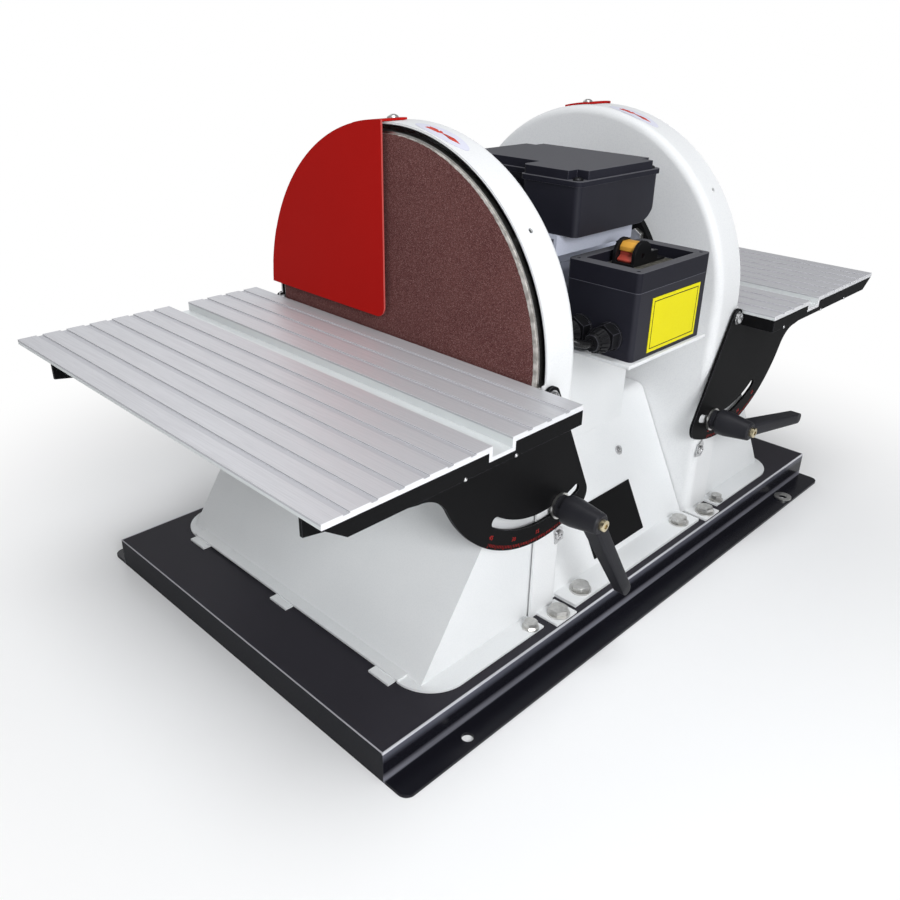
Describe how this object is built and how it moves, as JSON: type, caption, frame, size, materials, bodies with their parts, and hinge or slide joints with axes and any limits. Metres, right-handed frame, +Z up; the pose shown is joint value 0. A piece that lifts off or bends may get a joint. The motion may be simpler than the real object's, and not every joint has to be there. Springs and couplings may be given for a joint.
{
  "type": "benchtop disc sander",
  "caption": "Benchtop disc sander with an abrasive disc at each end of its motor spindle, tilting ribbed tables with miter slots, clamp levers, sheet metal housings and a switch box.",
  "frame": {"origin": "Middle of the four bench holes, on the bench plane under the base", "axes": "+X runs along the spindle to the right disc, -Y is the front with the switch, +Z is up"},
  "size_m": [0.7372, 0.4255, 0.3998],
  "materials": {
    "base_black": "satin",
    "powder_white": "fine textured powder coat",
    "guard_red": "satin",
    "bracket_black": "satin",
    "motor_grey": "satin",
    "zinc": "zinc plated",
    "bright_steel": "bright",
    "dark_steel": "black oxide",
    "rotor_iron": "plain",
    "winding_copper": "varnished windings on a steel stack",
    "disc_aluminium": "turned",
    "abrasive_grit": "coarse grit",
    "table_aluminium": "satin",
    "box_black": "fine texture",
    "lever_black": "fine texture",
    "rocker_amber": "gloss",
    "plate_yellow": "satin",
    "plate_black": "satin",
    "lead_rubber": "matte",
    "capacitor_can": "plain"
  },
  "bodies": {
    "machine": {"base_pan": "base_black", "bench_washer": "zinc", "base_nuts": "zinc", "base_bolts": "zinc", "pedestal": "powder_white", "pan_head_screws": "bright_steel", "rating_plate": "plate_black", "motor_foot": "motor_grey", "motor_foot_bolts": "zinc", "motor_body": "motor_grey", "left_end_bell": "bracket_black", "right_end_bell": "bracket_black", "bearings": "bright_steel", "stator": "winding_copper", "flange_bolts": "zinc", "left_housing": "powder_white", "right_housing": "powder_white", "left_shroud": "powder_white", "right_shroud": "powder_white", "left_guard": "guard_red", "right_guard": "guard_red", "guard_screws": "bright_steel", "switch_bracket": "powder_white", "switch_box": "box_black", "switch_box_lid": "box_black", "switch_body": "box_black", "switch_screws": "dark_steel", "label_plate": "plate_yellow", "cable_glands": "box_black", "motor_lead": "lead_rubber", "top_box_plate": "motor_grey", "top_box": "box_black", "top_box_lid": "box_black", "top_box_screws": "dark_steel", "capacitor": "capacitor_can", "pivot_bolts": "zinc", "lock_studs": "zinc", "rear_guide_bolts": "zinc", "pointers": "bright_steel"},
    "spindle": {"shaft": "bright_steel", "rotor": "rotor_iron", "left_disc": "disc_aluminium", "right_disc": "disc_aluminium", "left_abrasive": "abrasive_grit", "right_abrasive": "abrasive_grit", "set_screws": "dark_steel"},
    "left_table": {"left_table": "table_aluminium", "left_front_bracket": "bracket_black", "left_rear_bracket": "bracket_black", "left_table_screws": "zinc"},
    "right_table": {"right_table": "table_aluminium", "right_front_bracket": "bracket_black", "right_rear_bracket": "bracket_black", "right_table_screws": "zinc"},
    "left_lever": {"left_lever": "lever_black", "left_lever_screw": "bright_steel"},
    "right_lever": {"right_lever": "lever_black", "right_lever_screw": "bright_steel"},
    "rocker": {"switch_rocker": "rocker_amber"}
  },
  "joints": [
    {"name": "spindle_turn", "type": "hinge", "parent": "machine", "child": "spindle", "pos_m": [0, 0, 0.237], "axis": [1, 0, 0], "continuous": true},
    {"name": "left_table_tilt", "type": "hinge", "parent": "machine", "child": "left_table", "pos_m": [-0.1365, 0, 0.224], "axis": [0, -1, 0], "range_deg": [0, 45]},
    {"name": "right_table_tilt", "type": "hinge", "parent": "machine", "child": "right_table", "pos_m": [0.1365, 0, 0.224], "axis": [0, 1, 0], "range_deg": [0, 45]},
    {"name": "left_lever_turn", "type": "hinge", "parent": "machine", "child": "left_lever", "pos_m": [-0.11784, -0.187, 0.128], "axis": [0, 1, 0], "range_deg": [-90, 90]},
    {"name": "right_lever_turn", "type": "hinge", "parent": "machine", "child": "right_lever", "pos_m": [0.11784, -0.187, 0.128], "axis": [0, 1, 0], "range_deg": [-60, 120]},
    {"name": "switch_throw", "type": "hinge", "parent": "machine", "child": "rocker", "pos_m": [0.0025, -0.1275, 0.2985], "axis": [0, 1, 0], "range_deg": [-12, 12]}
  ]
}
